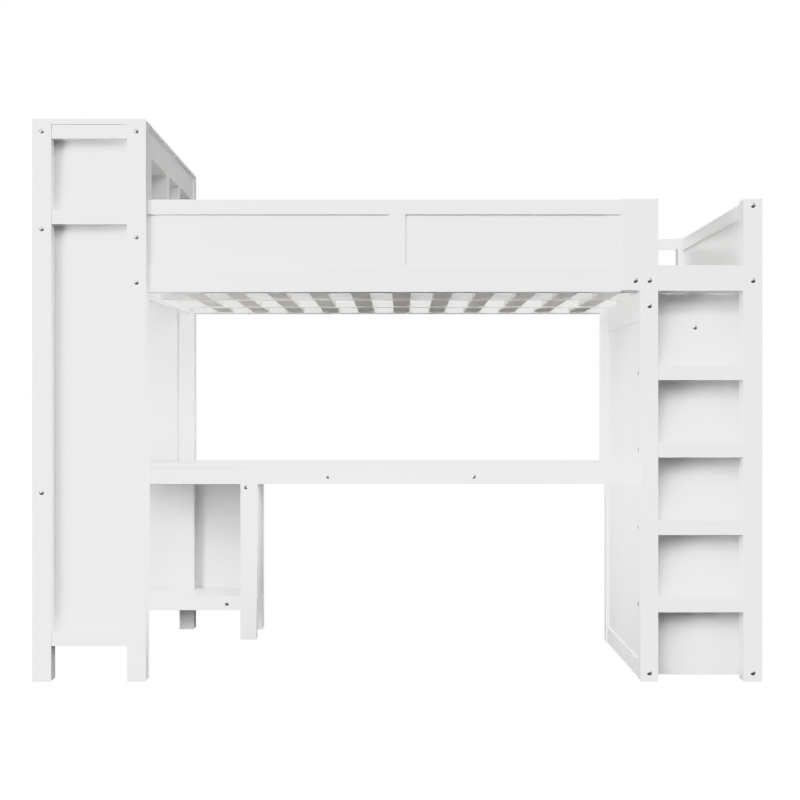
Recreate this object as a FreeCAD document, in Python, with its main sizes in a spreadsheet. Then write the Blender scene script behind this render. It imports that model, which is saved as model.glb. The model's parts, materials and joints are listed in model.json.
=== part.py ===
"""Loft bed with a desk, a headboard tower, a bookcase under the foot end and a step ladder.

Frame: millimetres, +X along the bed towards the ladder, +Y from the front to the wall side, +Z up.
The origin is on the floor, in the middle of the footprint. Every board is a body: a rectangle is
padded to the board, its arrises are eased, and bores and grooves are cut in it. Pieces that come
in identical numbers, such as slats and bolts, share one compound of separate solids.
"""

import FreeCAD, Part
import Sketcher
import os
import re

DIMENSIONS = [
    # alias, millimetres (or a plain count), what it is
    ("half_length", 1168, "half of the length over the end posts"),
    ("half_depth", 530, "half of the depth over the front and rear posts"),
    ("post", 60, "side of a square post"),
    ("ease", 1.5, "radius on the arrises of every board"),
    ("rail_inset", 4, "how far a frame rail stands behind the face of its posts"),
    ("panel", 8, "thickness of a grooved panel"),
    ("groove", 8, "how deep a panel enters its groove"),
    ("fit", 0.5, "play round a panel in its groove"),
    ("tower_width", 363, "tower, outer post face to inner post face"),
    ("tower_height", 1801, "floor to the top of the tower"),
    ("top_board", 17, "thickness of the tower's top board"),
    ("panel_recess", 46, "tower panel behind the post faces"),
    ("frame_rail", 45, "height of a tower frame rail"),
    ("middle_rail_top", 1510, "top of the tower's middle rails"),
    ("bottom_rail_low", 113, "underside of the tower's bottom rails"),
    ("side_rail_thick", 30, "thickness of rails that run front to rear"),
    ("side_top_rail", 54, "height of the tower's upper side rail"),
    ("side_middle_bolt", 1449, "height of the bolts of the tower's middle side rail"),
    ("side_middle_rail", 46, "height of the tower's middle side rail"),
    ("side_low_bolt", 605, "height of the bolts of the tower's low side rail"),
    ("cubby_opening_top", 1695, "top of the cubby openings"),
    ("cubby_stile", 64, "width of a stile beside the cubby openings"),
    ("cubby_floor", 17, "thickness of the cubby floor"),
    ("divider", 30, "thickness of a cubby divider"),
    ("divider_front", -83, "middle of the front cubby divider"),
    ("divider_rear", 150, "middle of the rear cubby divider"),
    ("headboard_top", 1450, "top of the headboard rail"),
    ("headboard_high_bolt", 1423, "height of the headboard rail's upper bolts"),
    ("headboard_low_bolt", 1278, "height of the headboard rail's lower bolts"),
    ("tower_top_bolt", 1762, "height of the bolts at the top of the tower"),
    ("deck_low", 1249, "underside of the bed's side rails"),
    ("side_rail", 83, "height of the bed's side rails"),
    ("bed_top", 1545, "top of the guards and of the foot posts"),
    ("guard_inset", 20, "guard face behind the post faces"),
    ("guard_thick", 22, "thickness of the guards and side rails"),
    ("guard_top_rail", 47, "height of the front guard's top rail"),
    ("guard_panel_inset", 7, "guard panel behind the guard's face"),
    ("mullion", 52, "width of the upright between the guard panels"),
    ("rear_top_rail", 40, "height of the rear guard's top rail"),
    ("upright", 60, "width of a rear guard upright"),
    ("upright_pitch", 478, "spacing of the rear guard uprights"),
    ("slat_middle", 152, "middle slat from the middle of the bed"),
    ("ladder_left", 779, "outer face of the ladder's left post"),
    ("ladder_post", 56, "width of the ladder's left post"),
    ("entry_post_low", 1253, "underside of the short post beside the ladder"),
    ("entry_bolt", 1284, "height of the bolts at the bed rails"),
    ("entry_bolt_offset", 17, "short post bolt from the ladder post"),
    ("foot_top_bolt", 1524, "height of the footboard's upper bolts"),
    ("foot_rail", 62, "height of the rails on the floor"),
    ("foot_bolt", 28, "height of the bolts of the rails on the floor"),
    ("frame_bolt", 11, "tower top rail's end bolts below the post tops"),
    ("rail_bolt", 62, "end bolts of the bed rails above their underside"),
    ("slat", 62, "width of a slat"),
    ("slat_thick", 18, "thickness of a slat"),
    ("slat_pitch", 138, "spacing of the slats"),
    ("slat_lift", 5, "wood left under a slat in its notch"),
    ("slat_play", 1, "play beside a slat in its notch"),
    ("slat_half", 469, "half of a slat's length"),
    ("ledger", 40, "width of a slat ledger"),
    ("beam", 20, "thickness of a centre beam"),
    ("beam_offset", 170, "centre of a centre beam from the middle"),
    ("tie_plate", 5, "thickness of the plate behind the two posts"),
    ("tie_plate_height", 22, "height of the plate behind the two posts"),
    ("tread_low", 221, "underside of the lowest tread"),
    ("tread_rise", 248, "rise from tread to tread"),
    ("tread", 46, "thickness of a tread"),
    ("flush_gap", 2, "entry rail and treads behind the post faces"),
    ("riser_set", 82, "back panel of the ladder behind the post faces"),
    ("riser_low", 6, "underside of the ladder's back panel"),
    ("riser_top", 1175, "top of the ladder's back panel"),
    ("case_rear", 236, "rear face of the bookcase and front edge of the desk"),
    ("case_panel_inset", 6, "bookcase side panel behind the rail faces"),
    ("case_bolt", 1203, "height of the bookcase's upper bolts"),
    ("case_top_rail", 92, "height of the bookcase's top rails"),
    ("shelf", 17, "thickness of a shelf"),
    ("shelf_first", 36, "underside of the lowest shelf"),
    ("shelf_pitch", 285, "spacing of the shelves"),
    ("shelf_bearer", 30, "height of a shelf bearer"),
    ("shelf_bolt_drop", 37, "a screw below the underside of the top shelf"),
    ("back_lap", 15, "bookcase back beyond the post"),
    ("back_thick", 12, "thickness of the bookcase back"),
    ("desk_height", 666, "floor to the top of the desk"),
    ("desk_thick", 17, "thickness of the desk top"),
    ("nosing", 6, "radius on the front edges of the desk top"),
    ("apron_inset", 2, "apron behind the edge of the desk top"),
    ("apron", 60, "height of the apron"),
    ("desk_rail", 22, "thickness of the apron and the desk's other rails"),
    ("cross_left", -263, "middle of the desk's left cross rail"),
    ("cross_right", 288, "middle of the desk's right cross rail"),
    ("desk_bolt", 616, "height of the apron's bolts"),
    ("cabinet_right", -534, "right face of the cabinet under the desk"),
    ("cabinet_shelf_top", 162, "top of the cabinet's shelf"),
    ("cabinet_bolt", 576, "height of the bolts at the top of the cabinet"),
    ("cabinet_bolt_offset", 39, "cabinet's upper bolts from its side face"),
    ("bearer_offset", 111, "bearer under the cabinet's shelf from the side face"),
    ("bearer_bolt", 137, "height of the bolts of those bearers"),
    ("cabinet_side", 18, "thickness of the cabinet's sides"),
    ("cabinet_rail", 50, "height of the cabinet's front rail"),
    ("bolt_bore", 7, "bore for a bolt"),
    ("bolt_shank", 6, "bolt diameter"),
    ("bolt_head", 17, "bolt head diameter"),
    ("bolt_dome", 3, "bolt head height"),
    ("bolt_socket", 5, "hexagon socket across flats"),
    ("bolt_grip", 40, "how far a bolt enters a rail"),
    ("nut_place", 30, "barrel nut from the end of the rail"),
    ("nut", 10, "barrel nut diameter"),
    ("nut_long", 14, "barrel nut length"),
]

doc = FreeCAD.newDocument("LoftBedWithDesk")
sheet = doc.addObject("Spreadsheet::Sheet", "Dimensions")
for row, (alias, size, note) in enumerate(DIMENSIONS, start=1):
    sheet.set(f"A{row}", alias)
    sheet.set(f"B{row}", str(size))
    sheet.set(f"C{row}", note)
    sheet.setAlias(f"B{row}", alias)
doc.recompute()

nodes = []
EDGES = [f"Edge{number}" for number in range(1, 13)]
TURNS = {
    "+x": FreeCAD.Rotation(FreeCAD.Vector(0, 1, 0), 90),
    "-x": FreeCAD.Rotation(FreeCAD.Vector(0, 1, 0), -90),
    "+y": FreeCAD.Rotation(FreeCAD.Vector(1, 0, 0), -90),
    "-y": FreeCAD.Rotation(FreeCAD.Vector(1, 0, 0), 90),
    "+z": FreeCAD.Rotation(),
}


# ---- how every piece is made ----


def bind(thing, prop, expression):
    """Ties a property to the sheet. Every word in the expression is an alias."""
    thing.setExpression(prop, re.sub(r"[a-z]\w*", r"Dimensions.\g<0>", expression))


def value(expression):
    """The number that an expression of aliases gives."""
    return float(sheet.evalExpression(expression))


def place(thing, corner, base=("0", "0", "0")):
    """Binds the placement of a thing to a corner, measured from a base corner."""
    for letter, where, start in zip("xyz", corner, base):
        bind(thing, f"Placement.Base.{letter}", f"({where}) - ({start})")


def origin_plane(body, role):
    return next(f for f in body.Origin.OriginFeatures if f.Role == role)


def outline(body, role, points):
    """A closed sketch through points, each a pair of expressions from the body's own corner."""
    sketch = body.newObject("Sketcher::SketchObject", body.Name + "_outline")
    sketch.AttachmentSupport = [(origin_plane(body, role), "")]
    sketch.MapMode = "FlatFace"
    corners = [FreeCAD.Vector(value(a), value(b), 0) for a, b in points]
    count = len(corners)
    for i in range(count):
        sketch.addGeometry(Part.LineSegment(corners[i], corners[(i + 1) % count]), False)
    for i in range(count):
        sketch.addConstraint(Sketcher.Constraint("Coincident", i, 2, (i + 1) % count, 1))
    for i, (across, up) in enumerate(points):
        for kind, letter, expression in (("DistanceX", "x", across), ("DistanceY", "y", up)):
            size = value(expression)
            if abs(size) < 1e-9:
                on_axis = Sketcher.Constraint("PointOnObject", i, 1, -2 if letter == "x" else -1)
                sketch.addConstraint(on_axis)
                continue
            number = sketch.addConstraint(Sketcher.Constraint(kind, -1, 1, i, 1, size))
            sketch.renameConstraint(number, f"{letter}{i}")
            bind(sketch, f"Constraints.{letter}{i}", expression)
    return sketch


def cut_pocket(body, name, low, high, base):
    """Cuts a groove, notch or slot: a box from a low corner to a high corner."""
    tool = body.newObject("PartDesign::SubtractiveBox", name)
    for prop, near, far in zip(("Length", "Width", "Height"), low, high):
        bind(tool, prop, f"({far}) - ({near})")
    place(tool, low, base)
    return tool


def cut_bore(body, name, start, way, across, deep, base):
    """Bores a round hole from a start point, along +x, -x, +y, -y or +z."""
    tool = body.newObject("PartDesign::SubtractiveCylinder", name)
    tool.Placement = FreeCAD.Placement(FreeCAD.Vector(), TURNS[way])
    bind(tool, "Radius", f"({across}) / 2")
    bind(tool, "Height", deep)
    place(tool, start, base)
    return tool


def finish_body(body, base, bores, pockets):
    """Cuts the bores and pockets, and checks that each one takes wood away."""
    for number, (start, way, across, deep) in enumerate(bores, start=1):
        cut_bore(body, f"{body.Name}_bore{number}", start, way, across, deep, base)
    for number, (near, far) in enumerate(pockets, start=1):
        cut_pocket(body, f"{body.Name}_pocket{number}", near, far, base)
    place(body, base)
    doc.recompute()
    volumes = [f.Shape.Volume for f in body.Group if hasattr(f, "AddSubType") or "Fillet" in f.Name]
    for before, after in zip(volumes, volumes[1:]):
        if after >= before:
            raise RuntimeError(f"a cut in {body.Label} takes nothing away")


def board(name, low, high, bores=(), pockets=(), eased=True):
    """A rectangular board between two corners, with eased arrises, bores and pockets."""
    body = doc.addObject("PartDesign::Body", name)
    body.Label = name
    length, width, height = (f"({far}) - ({near})" for near, far in zip(low, high))
    corners = [("0", "0"), (length, "0"), (length, width), ("0", width)]
    section = outline(body, "XY_Plane", corners)
    pad = body.newObject("PartDesign::Pad", name + "_pad")
    pad.Profile = section
    bind(pad, "Length", height)
    if eased:
        doc.recompute()
        fillet = body.newObject("PartDesign::Fillet", name + "_Fillet")
        fillet.Base = (pad, EDGES)
        bind(fillet, "Radius", "ease")
    finish_body(body, low, bores, pockets)
    return body


def plate(name, points, low_z, high_z, nosing=None):
    """A flat board with a shaped outline: points are pairs of expressions in X and Y."""
    body = doc.addObject("PartDesign::Body", name)
    body.Label = name
    section = outline(body, "XY_Plane", points)
    pad = body.newObject("PartDesign::Pad", name + "_pad")
    pad.Profile = section
    bind(pad, "Length", f"({high_z}) - ({low_z})")
    if nosing:
        doc.recompute()
        front = value(points[0][1])
        fillet = body.newObject("PartDesign::Fillet", name + "_Fillet")
        fillet.Base = (pad, front_edges(pad.Shape, front))
        bind(fillet, "Radius", nosing)
    finish_body(body, ("0", "0", low_z), (), ())
    return body


def front_edges(shape, front):
    """Names of the level edges that lie in the front face."""
    names = []
    for number, edge in enumerate(shape.Edges, start=1):
        box = edge.BoundBox
        if box.YLength < 1e-6 and abs(box.YMin - front) < 1e-6 and box.ZLength < 1e-6:
            names.append(f"Edge{number}")
    return names


def node(piece):
    """Marks a single piece as a node of the assembly."""
    nodes.append(piece)
    return piece


def group(name, pieces):
    """One node for pieces that come in identical numbers: they stay separate solids."""
    compound = doc.addObject("Part::Compound", name)
    compound.Label = name
    compound.Links = pieces
    nodes.append(compound)
    return compound


def mirrored(low, high):
    """The same box on the other side of the middle, front to rear."""
    near = (low[0], f"-({high[1]})", low[2])
    far = (high[0], f"-({low[1]})", high[2])
    return near, far


def flip(boxes):
    return [mirrored(low, high) for low, high in boxes]


def flip_bores(bores):
    """Bores on the other side of the middle, front to rear."""
    other = {"+y": "-y", "-y": "+y"}
    return [((x, f"-({y})", z), other.get(way, way), d, deep) for (x, y, z), way, d, deep in bores]


# ---- planes and heights that several pieces share ----

LEFT, RIGHT = "-half_length", "half_length"
FRONT, FRONT_IN = "-half_depth", "-half_depth + post"
REAR, REAR_IN = "half_depth", "half_depth - post"
OUTER_IN = "-half_length + post"
TOWER_FACE = "-half_length + tower_width"
INNER_OUT = "-half_length + tower_width - post"
FOOT_IN = "half_length - post"
POST_TOP = "tower_height - top_board"
OUTER_MIDDLE = "-half_length + post / 2"
INNER_MIDDLE = "-half_length + tower_width - post / 2"
FOOT_MIDDLE = "half_length - post / 2"
DECK_TOP = "deck_low + side_rail"
LADDER_RIGHT = "ladder_left + ladder_post"
LADDER_MIDDLE = "ladder_left + ladder_post / 2"
ENTRY_LEFT = "ladder_left - post"
ENTRY_BOLT_X = "ladder_left - entry_bolt_offset"
GUARD_FACE = "-half_depth + guard_inset"
GUARD_BACK = "-half_depth + guard_inset + guard_thick"
SIDE_LOW_TOP = "desk_height - desk_thick"
SIDE_LOW_LOW = "2 * side_low_bolt - desk_height + desk_thick"
SLAT_LOW = "deck_low + slat_lift"
SLAT_TOP = "deck_low + slat_lift + slat_thick"
CABINET_LEFT = OUTER_IN
CABINET_FACE = "case_rear + apron_inset"
APRON_LOW = "desk_height - desk_thick - apron"
BOLT_THROUGH = "post + 1"


def post_bores(x, heights):
    """Bores through a front post, front to rear, at several heights."""
    return [((x, f"{FRONT} - 0.5", z), "+y", "bolt_bore", BOLT_THROUGH) for z in heights]


def end_bores(x, y_end, way, z, thick):
    """A bolt bore in the end of a rail that runs front to rear, and its barrel nut's bore."""
    sign = "+" if way == "+y" else "-"
    nut_start = (f"{x} - ({thick}) / 2 - 0.5", f"{y_end} {sign} nut_place", z)
    return [
        ((x, y_end, z), way, "bolt_bore", "bolt_grip + 5"),
        (nut_start, "+x", "nut + 0.2", f"({thick}) + 1"),
    ]


def both_ends(x, z, thick, front=FRONT_IN, rear=REAR_IN):
    return end_bores(x, front, "+y", z, thick) + end_bores(x, rear, "-y", z, thick)


# ---- the tower: four posts, front and rear frames, outer side, cubbies ----

PANEL_FRONT = "-half_depth + panel_recess"
PANEL_BACK = "-half_depth + panel_recess + panel"
GROOVE_LOW = f"{PANEL_FRONT} - fit / 2"
GROOVE_HIGH = f"{PANEL_BACK} + fit / 2"
SIDE_PANEL_LOW = f"{OUTER_MIDDLE} - panel / 2"
SIDE_PANEL_HIGH = f"{OUTER_MIDDLE} + panel / 2"
MIDDLE_LOW = "middle_rail_top - frame_rail"
BOTTOM_TOP = "bottom_rail_low + frame_rail"
SIDE_MIDDLE_LOW = "side_middle_bolt - side_middle_rail / 2"
SIDE_MIDDLE_TOP = "side_middle_bolt + side_middle_rail / 2"
SIDE_TOP_LOW = f"{POST_TOP} - side_top_rail"
FRAME_MIDDLE_Y = "-half_depth + post / 2"
FRAME_BOLTS = [
    f"{POST_TOP} - frame_bolt",
    "middle_rail_top - frame_rail / 2",
    "bottom_rail_low + frame_rail / 2",
]


def tower_posts():
    """The front posts and their mirror images, with grooves for the panels that meet them."""
    front_groove = (
        (f"{OUTER_IN} - groove - fit", GROOVE_LOW, f"{BOTTOM_TOP} - groove - fit"),
        (f"{OUTER_IN} + 1", GROOVE_HIGH, f"{POST_TOP} - frame_rail + groove + fit"),
    )
    side_groove = (
        (f"{SIDE_PANEL_LOW} - fit / 2", f"{FRONT_IN} - groove - fit", f"{SIDE_LOW_TOP} - groove - fit"),
        (f"{SIDE_PANEL_HIGH} + fit / 2", f"{FRONT_IN} + 1", f"{SIDE_TOP_LOW} + groove + fit"),
    )
    inner_groove = (
        (f"{INNER_OUT} - 1", GROOVE_LOW, f"{BOTTOM_TOP} - groove - fit"),
        (f"{INNER_OUT} + groove + fit", GROOVE_HIGH, f"{POST_TOP} - frame_rail + groove + fit"),
    )
    outer = (LEFT, FRONT, "0"), (OUTER_IN, FRONT_IN, POST_TOP)
    inner = (INNER_OUT, FRONT, "0"), (TOWER_FACE, FRONT_IN, POST_TOP)
    outer_bores = post_bores(OUTER_MIDDLE, ["tower_top_bolt", "side_middle_bolt", "side_low_bolt"])
    for z in FRAME_BOLTS:
        outer_bores.append(((f"{LEFT} - 0.5", FRAME_MIDDLE_Y, z), "+x", "bolt_bore", BOLT_THROUGH))
    inner_heights = ["tower_top_bolt", "headboard_high_bolt", "headboard_low_bolt"]
    inner_bores = post_bores(INNER_MIDDLE, inner_heights)
    rail_bore = ((f"{INNER_OUT} - 0.5", RAIL_MIDDLE_Y, RAIL_BOLT_Z), "+x", "bolt_bore", BOLT_THROUGH)
    inner_bores.append(rail_bore)
    outer_cuts = [front_groove, side_groove]
    inner_cuts = [inner_groove]
    node(board("tower_front_outer_post", *outer, bores=outer_bores, pockets=outer_cuts))
    node(board("tower_front_inner_post", *inner, bores=inner_bores, pockets=inner_cuts))
    rear_outer = flip_bores(outer_bores), flip(outer_cuts)
    rear_inner = flip_bores(inner_bores), flip(inner_cuts)
    node(board("tower_rear_outer_post", *mirrored(*outer), *rear_outer))
    node(board("tower_rear_inner_post", *mirrored(*inner), *rear_inner))


def tower_frames():
    """Rails and panels between the posts, the same at the front and at the rear."""
    near, far = f"{FRONT} + rail_inset", f"{FRONT_IN} - rail_inset"
    above = ("middle_rail_top - groove - fit", "middle_rail_top + 1")
    bottom_slot = (f"{BOTTOM_TOP} - groove - fit", f"{BOTTOM_TOP} + 1")
    rails = {
        "top": (f"{POST_TOP} - frame_rail", POST_TOP, [("low", f"{POST_TOP} - frame_rail")]),
        "middle": (MIDDLE_LOW, "middle_rail_top", [("low", MIDDLE_LOW), ("high", above)]),
        "bottom": ("bottom_rail_low", BOTTOM_TOP, [("high", bottom_slot)]),
    }
    pieces = []
    for (title, (low_z, high_z, sides)), bolt in zip(rails.items(), FRAME_BOLTS):
        nut_start = (f"{OUTER_IN} + nut_place", FRAME_MIDDLE_Y, f"{low_z} - 0.5")
        bores = [
            ((OUTER_IN, FRAME_MIDDLE_Y, bolt), "+x", "bolt_bore", "bolt_grip + 5"),
            (nut_start, "+z", "nut + 0.2", f"({bolt}) - ({low_z}) + nut_long / 2 + 0.5"),
        ]
        pockets = []
        for side, where in sides:
            if side == "low":
                where = (f"{where} - 1", f"{where} + groove + fit")
            low_corner = (f"{OUTER_IN} - 1", GROOVE_LOW, where[0])
            pockets.append((low_corner, (f"{INNER_OUT} + 1", GROOVE_HIGH, where[1])))
        box = (OUTER_IN, near, low_z), (INNER_OUT, far, high_z)
        pieces.append(board(f"tower_{title}_rail_front", *box, bores=bores, pockets=pockets))
        back = flip_bores(bores), flip(pockets)
        pieces.append(board(f"tower_{title}_rail_rear", *mirrored(*box), *back))
    group("tower_frame_rails", pieces)
    heights = {
        "upper": ("middle_rail_top - groove", f"{POST_TOP} - frame_rail + groove"),
        "lower": (f"{BOTTOM_TOP} - groove", f"{MIDDLE_LOW} + groove"),
    }
    for title, (low_z, high_z) in heights.items():
        low = (f"{OUTER_IN} - groove", PANEL_FRONT, low_z)
        high = (f"{INNER_OUT} + groove", PANEL_BACK, high_z)
        front = board(f"tower_{title}_panel_front", low, high, eased=False)
        rear = board(f"tower_{title}_panel_rear", *mirrored(low, high), eased=False)
        group(f"tower_{title}_panels", [front, rear])


def tower_side():
    """Three rails and two panels that close the outer side down to the desk."""
    thin_low = f"{OUTER_MIDDLE} - side_rail_thick / 2"
    thin_high = f"{OUTER_MIDDLE} + side_rail_thick / 2"

    def slot(low_z, high_z):
        low = (f"{SIDE_PANEL_LOW} - fit / 2", f"{FRONT_IN} - 1", low_z)
        return low, (f"{SIDE_PANEL_HIGH} + fit / 2", f"{REAR_IN} + 1", high_z)

    rails = {
        "top": (SIDE_TOP_LOW, POST_TOP, "tower_top_bolt"),
        "middle": (SIDE_MIDDLE_LOW, SIDE_MIDDLE_TOP, "side_middle_bolt"),
        "low": (SIDE_LOW_LOW, SIDE_LOW_TOP, "side_low_bolt"),
    }
    slots = {
        "top": [slot(f"{SIDE_TOP_LOW} - 1", f"{SIDE_TOP_LOW} + groove + fit")],
        "middle": [
            slot(f"{SIDE_MIDDLE_LOW} - 1", f"{SIDE_MIDDLE_LOW} + groove + fit"),
            slot(f"{SIDE_MIDDLE_TOP} - groove - fit", f"{SIDE_MIDDLE_TOP} + 1"),
        ],
        "low": [slot(f"{SIDE_LOW_TOP} - groove - fit", f"{SIDE_LOW_TOP} + 1")],
    }
    for title, (low_z, high_z, bolt) in rails.items():
        low, high = (thin_low, FRONT_IN, low_z), (thin_high, REAR_IN, high_z)
        bores = both_ends(OUTER_MIDDLE, bolt, "side_rail_thick")
        node(board(f"tower_side_{title}_rail", low, high, bores=bores, pockets=slots[title]))
    spans = {
        "upper": (f"{SIDE_MIDDLE_TOP} - groove", f"{SIDE_TOP_LOW} + groove"),
        "lower": (f"{SIDE_LOW_TOP} - groove", f"{SIDE_MIDDLE_LOW} + groove"),
    }
    for title, (low_z, high_z) in spans.items():
        low = (SIDE_PANEL_LOW, f"{FRONT_IN} - groove", low_z)
        high = (SIDE_PANEL_HIGH, f"{REAR_IN} + groove", high_z)
        node(board(f"tower_side_{title}_panel", low, high, eased=False))


def cubbies():
    """Headboard rail, and the cubby floor, face frame and dividers above it."""
    frame_low, frame_high = f"{INNER_OUT} + rail_inset", f"{TOWER_FACE} - rail_inset"
    floor_top = "headboard_top + cubby_floor"
    inner_wall = f"{OUTER_MIDDLE} + side_rail_thick / 2"
    bores = both_ends(INNER_MIDDLE, "tower_top_bolt", "post - 2 * rail_inset")
    low = (frame_low, FRONT_IN, "cubby_opening_top")
    node(board("cubby_top_rail", low, (frame_high, REAR_IN, POST_TOP), bores=bores))
    head_low = f"{INNER_MIDDLE} - side_rail_thick / 2"
    head_high = f"{INNER_MIDDLE} + side_rail_thick / 2"
    bores = []
    for bolt in ("headboard_high_bolt", "headboard_low_bolt"):
        bores += both_ends(INNER_MIDDLE, bolt, "side_rail_thick")
    head = (head_low, FRONT_IN, "deck_low"), (head_high, REAR_IN, "headboard_top")
    node(board("headboard_rail", *head, bores=bores))
    floor = (inner_wall, FRONT_IN, "headboard_top"), (frame_high, REAR_IN, floor_top)
    node(board("cubby_floor", *floor))
    stile = (frame_low, FRONT_IN, floor_top), (frame_high, f"{FRONT_IN} + cubby_stile", "cubby_opening_top")
    pair = [board("cubby_stile_front", *stile), board("cubby_stile_rear", *mirrored(*stile))]
    group("cubby_stiles", pair)
    dividers = []
    for title, middle in (("front", "divider_front"), ("rear", "divider_rear")):
        low = (inner_wall, f"{middle} - divider / 2", floor_top)
        high = (frame_high, f"{middle} + divider / 2", POST_TOP)
        notch = (
            (frame_low, f"{middle} - divider / 2 - 1", "cubby_opening_top"),
            (f"{frame_high} + 1", f"{middle} + divider / 2 + 1", f"{POST_TOP} + 1"),
        )
        dividers.append(board(f"cubby_divider_{title}", low, high, pockets=[notch]))
    group("cubby_dividers", dividers)
    low = (LEFT, FRONT, POST_TOP)
    node(board("tower_top_board", low, (TOWER_FACE, REAR, "tower_height")))


# ---- the bed: guards, posts, entry, footboard, slats ----

RAIL_MIDDLE_Y = "-half_depth + guard_inset + guard_thick / 2"
RAIL_BOLT_Z = "deck_low + rail_bolt"
PANEL_SLOT_LOW = "-half_depth + guard_inset + guard_panel_inset"
PANEL_SLOT_HIGH = "-half_depth + guard_inset + guard_panel_inset + panel"


def rail_end(x_end, way, z):
    """Bolt bore in the end of a side rail, and the bore for its barrel nut from below."""
    sign = "+" if way == "+x" else "-"
    nut_start = (f"{x_end} {sign} nut_place", RAIL_MIDDLE_Y, "deck_low - 0.5")
    return [
        ((x_end, RAIL_MIDDLE_Y, z), way, "bolt_bore", "bolt_grip + 5"),
        (nut_start, "+z", "nut + 0.2", f"{z} - deck_low + nut_long / 2 + 0.5"),
    ]


def front_guard():
    """Top rail, bottom side rail, mullion and two panels in grooves."""
    top_low = "bed_top - guard_top_rail"
    slot_y = (f"{PANEL_SLOT_LOW} - fit / 2", f"{PANEL_SLOT_HIGH} + fit / 2")

    def slot(low_x, high_x, low_z, high_z):
        return (low_x, slot_y[0], low_z), (high_x, slot_y[1], high_z)

    whole = f"{TOWER_FACE} - 1", f"{ENTRY_LEFT} + 1"
    over = slot(*whole, f"{top_low} - 1", f"{top_low} + groove + fit")
    under = slot(*whole, f"{DECK_TOP} - groove - fit", f"{DECK_TOP} + 1")
    low, high = (TOWER_FACE, GUARD_FACE, top_low), (ENTRY_LEFT, GUARD_BACK, "bed_top")
    node(board("front_guard_top_rail", low, high, pockets=[over]))
    low, high = (TOWER_FACE, GUARD_FACE, "deck_low"), (ENTRY_LEFT, GUARD_BACK, DECK_TOP)
    bores = rail_end(TOWER_FACE, "+x", RAIL_BOLT_Z)
    node(board("front_side_rail", low, high, bores=bores, pockets=[under]))
    between = f"{DECK_TOP} - 1", f"{top_low} + 1"
    cheeks = [
        slot("-mullion / 2 - 1", "-mullion / 2 + groove + fit", *between),
        slot("mullion / 2 - groove - fit", "mullion / 2 + 1", *between),
    ]
    low, high = ("-mullion / 2", GUARD_FACE, DECK_TOP), ("mullion / 2", GUARD_BACK, top_low)
    node(board("front_guard_mullion", low, high, pockets=cheeks))
    z_low, z_high = f"{DECK_TOP} - groove", f"{top_low} + groove"
    left_panel = board(
        "front_guard_panel_left",
        (TOWER_FACE, PANEL_SLOT_LOW, z_low),
        ("-mullion / 2 + groove", PANEL_SLOT_HIGH, z_high),
        eased=False,
    )
    right_panel = board(
        "front_guard_panel_right",
        ("mullion / 2 - groove", PANEL_SLOT_LOW, z_low),
        (ENTRY_LEFT, PANEL_SLOT_HIGH, z_high),
        eased=False,
    )
    group("front_guard_panels", [left_panel, right_panel])


def rear_guard():
    """Side rail, top rail and three uprights on the wall side."""
    top_low = "bed_top - rear_top_rail"
    low, high = mirrored((TOWER_FACE, GUARD_FACE, "deck_low"), (FOOT_IN, GUARD_BACK, DECK_TOP))
    bores = rail_end(TOWER_FACE, "+x", RAIL_BOLT_Z) + rail_end(FOOT_IN, "-x", RAIL_BOLT_Z)
    node(board("rear_side_rail", low, high, bores=flip_bores(bores)))
    low, high = mirrored((TOWER_FACE, GUARD_FACE, top_low), (FOOT_IN, GUARD_BACK, "bed_top"))
    node(board("rear_guard_top_rail", low, high))
    uprights = []
    for step in (-1, 0, 1):
        middle = f"slat_middle + {step} * upright_pitch"
        low = (f"{middle} - upright / 2", GUARD_FACE, DECK_TOP)
        high = (f"{middle} + upright / 2", GUARD_BACK, top_low)
        uprights.append(board(f"rear_guard_upright_{step + 2}", *mirrored(low, high)))
    group("rear_guard_uprights", uprights)


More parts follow.
